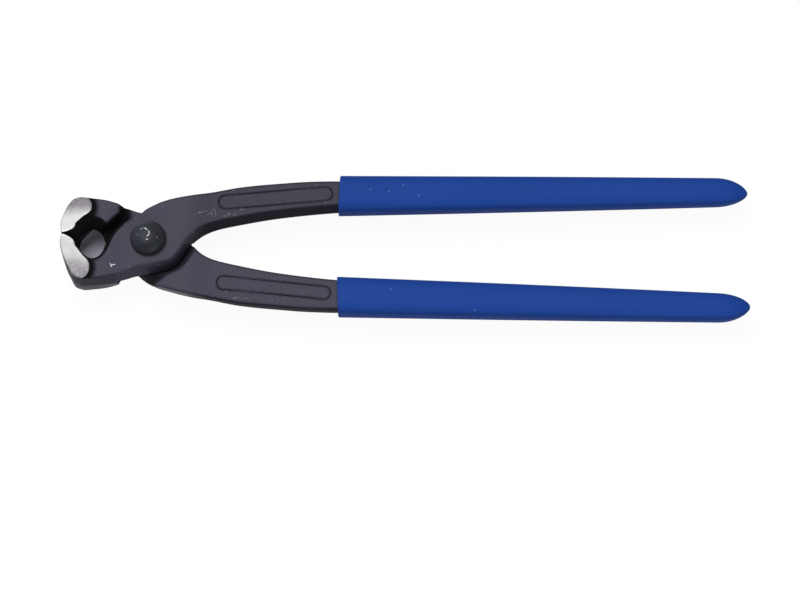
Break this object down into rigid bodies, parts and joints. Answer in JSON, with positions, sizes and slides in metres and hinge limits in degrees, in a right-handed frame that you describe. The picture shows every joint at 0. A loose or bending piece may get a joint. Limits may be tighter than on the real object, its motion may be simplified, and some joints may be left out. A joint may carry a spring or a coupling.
{
  "type": "end cutting nippers",
  "caption": "Long-handled end cutting nippers: two forged halves lapped on a rivet, ground jaw sides, an eye behind the cutting edges, and dipped vinyl sleeves.",
  "frame": {"origin": "centre of the closed tool's bounding box in X and Y, at its lowest point in Z", "axes": "+X along the tool towards the handle ends, +Y towards the front half's handle, +Z along the rivet towards its domed head"},
  "size_m": [0.2481, 0.0546, 0.024],
  "materials": {
    "front_forging": "drop-forged steel, black phosphate, ground bright on the jaw's sides",
    "rear_forging": "drop-forged steel, black phosphate, ground bright on the jaw's sides",
    "rivet": "black oxide, smoother and glossier than the forgings",
    "front_sleeve": "matte blue dipped vinyl",
    "rear_sleeve": "matte blue dipped vinyl"
  },
  "bodies": {
    "front": {"front_half": "front_forging", "pivot_rivet": "rivet", "front_grip": "front_sleeve"},
    "rear": {"rear_half": "rear_forging", "rear_grip": "rear_sleeve"}
  },
  "joints": [
    {"name": "jaw_hinge", "type": "hinge", "parent": "front", "child": "rear", "pos_m": [-0.0928, 0, 0.012], "axis": [0, 0, -1], "range_deg": [0, 25]}
  ]
}
